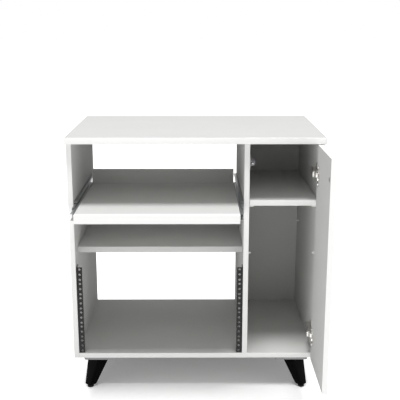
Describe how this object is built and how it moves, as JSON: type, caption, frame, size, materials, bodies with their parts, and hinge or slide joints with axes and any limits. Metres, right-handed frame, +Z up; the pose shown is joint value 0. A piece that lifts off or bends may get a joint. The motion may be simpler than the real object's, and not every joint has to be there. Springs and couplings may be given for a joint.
{
  "type": "studio rack stand",
  "caption": "White studio cabinet on splayed legs: monitor top, pull-out keyboard tray, device shelf over a 19 inch rack bay, and a cupboard with a shelf and a hinged door.",
  "frame": {"origin": "on the floor, in the middle of the object's width and of its depth, with the tray pulled out 101 mm and the door open 90 degrees", "axes": "+X to the right as seen from the front, +Y into the cabinet towards its back, +Z up"},
  "size_m": [0.728, 0.6712, 0.762],
  "materials": {
    "melamine": "white melamine on particle board, satin",
    "black_plastic": "black moulded plastic, satin",
    "black_steel": "black powder coat",
    "zinc_steel": "bright zinc plated, rolled",
    "nickel_steel": "nickel plated, bright",
    "grey_plate": "grey powder coat",
    "white_plastic": "white moulded plastic",
    "grey_plastic": "grey moulded plastic"
  },
  "bodies": {
    "carcass": {"top_board": "melamine", "left_side_panel": "melamine", "divider_panel": "melamine", "right_side_panel": "melamine", "bottom_panel": "melamine", "device_shelf": "melamine", "cupboard_shelf": "melamine", "cupboard_back": "melamine", "rear_top_rail": "melamine", "slide_outer_left": "zinc_steel", "slide_outer_right": "zinc_steel", "rack_rail_left": "black_steel", "rack_rail_right": "black_steel", "rail_screw_left_lower": "black_steel", "rail_screw_left_upper": "black_steel", "rail_screw_right_lower": "black_steel", "rail_screw_right_upper": "black_steel", "shelf_bracket_front_left": "white_plastic", "shelf_bracket_front_right": "white_plastic", "shelf_bracket_rear_left": "white_plastic", "shelf_bracket_rear_right": "white_plastic", "spare_pin_front_left": "white_plastic", "spare_pin_front_right": "white_plastic", "spare_pin_rear_left": "white_plastic", "spare_pin_rear_right": "white_plastic", "hinge_plate_lower": "nickel_steel", "hinge_plate_upper": "nickel_steel", "hinge_arm_lower": "nickel_steel", "hinge_arm_upper": "nickel_steel", "latch_body": "grey_plastic", "leg_plate_front_left": "grey_plate", "leg_plate_front_right": "grey_plate", "leg_plate_rear_left": "grey_plate", "leg_plate_rear_right": "grey_plate", "leg_front_left": "black_plastic", "leg_front_right": "black_plastic", "leg_rear_left": "black_plastic", "leg_rear_right": "black_plastic", "glide_front_left": "black_plastic", "glide_front_right": "black_plastic", "glide_rear_left": "black_plastic", "glide_rear_right": "black_plastic"},
    "tray": {"tray_board": "melamine", "tray_front": "melamine", "tray_rear_lip": "melamine", "slide_inner_left": "zinc_steel", "slide_inner_right": "zinc_steel"},
    "slide_middle_left": {"slide_middle_left": "zinc_steel"},
    "slide_middle_right": {"slide_middle_right": "zinc_steel"},
    "ball_cage_outer_left": {"ball_cage_outer_left": "nickel_steel"},
    "ball_cage_outer_right": {"ball_cage_outer_right": "nickel_steel"},
    "ball_cage_inner_left": {"ball_cage_inner_left": "nickel_steel"},
    "ball_cage_inner_right": {"ball_cage_inner_right": "nickel_steel"},
    "door": {"door_panel": "melamine", "hinge_cup_lower": "nickel_steel", "hinge_cup_upper": "nickel_steel", "latch_strike": "nickel_steel"},
    "hinge_link_lower": {"hinge_link_lower": "nickel_steel"},
    "hinge_link_upper": {"hinge_link_upper": "nickel_steel"},
    "latch_plunger": {"latch_plunger": "black_plastic"}
  },
  "joints": [
    {"name": "tray_slide", "type": "slide", "parent": "carcass", "child": "tray", "axis": [0, -1, 0], "range_m": [-0.101, 0.249]},
    {"name": "left_middle_slide", "type": "slide", "parent": "carcass", "child": "slide_middle_left", "axis": [0, -1, 0], "range_m": [-0.051, 0.125]},
    {"name": "right_middle_slide", "type": "slide", "parent": "carcass", "child": "slide_middle_right", "axis": [0, -1, 0], "range_m": [-0.051, 0.125]},
    {"name": "left_outer_cage_slide", "type": "slide", "parent": "carcass", "child": "ball_cage_outer_left", "axis": [0, -1, 0], "range_m": [-0.026, 0.063]},
    {"name": "right_outer_cage_slide", "type": "slide", "parent": "carcass", "child": "ball_cage_outer_right", "axis": [0, -1, 0], "range_m": [-0.026, 0.063]},
    {"name": "left_inner_cage_slide", "type": "slide", "parent": "carcass", "child": "ball_cage_inner_left", "axis": [0, -1, 0], "range_m": [-0.076, 0.187]},
    {"name": "right_inner_cage_slide", "type": "slide", "parent": "carcass", "child": "ball_cage_inner_right", "axis": [0, -1, 0], "range_m": [-0.076, 0.187]},
    {"name": "door_hinge", "type": "hinge", "parent": "carcass", "child": "door", "pos_m": [0.3555, -0.12512, 0.42], "axis": [0, 0, 1], "range_deg": [-90, 5]},
    {"name": "lower_link_pivot", "type": "hinge", "parent": "carcass", "child": "hinge_link_lower", "pos_m": [0.335, -0.11438, 0.176], "axis": [0, 0, 1], "range_deg": [-5, 82]},
    {"name": "upper_link_pivot", "type": "hinge", "parent": "carcass", "child": "hinge_link_upper", "pos_m": [0.335, -0.11438, 0.6565], "axis": [0, 0, 1], "range_deg": [-5, 82]},
    {"name": "plunger_travel", "type": "slide", "parent": "carcass", "child": "latch_plunger", "axis": [0, 1, 0], "range_m": [0, 0.004], "stiffness_N_per_m": 150}
  ],
  "couplings": [
    {"joint": "left_middle_slide", "follows": "tray_slide", "ratio": 0.5},
    {"joint": "right_middle_slide", "follows": "tray_slide", "ratio": 0.5},
    {"joint": "left_outer_cage_slide", "follows": "tray_slide", "ratio": 0.25},
    {"joint": "right_outer_cage_slide", "follows": "tray_slide", "ratio": 0.25},
    {"joint": "left_inner_cage_slide", "follows": "tray_slide", "ratio": 0.75},
    {"joint": "right_inner_cage_slide", "follows": "tray_slide", "ratio": 0.75},
    {"joint": "lower_link_pivot", "follows": "door_hinge", "ratio": -0.9},
    {"joint": "upper_link_pivot", "follows": "door_hinge", "ratio": -0.9}
  ]
}
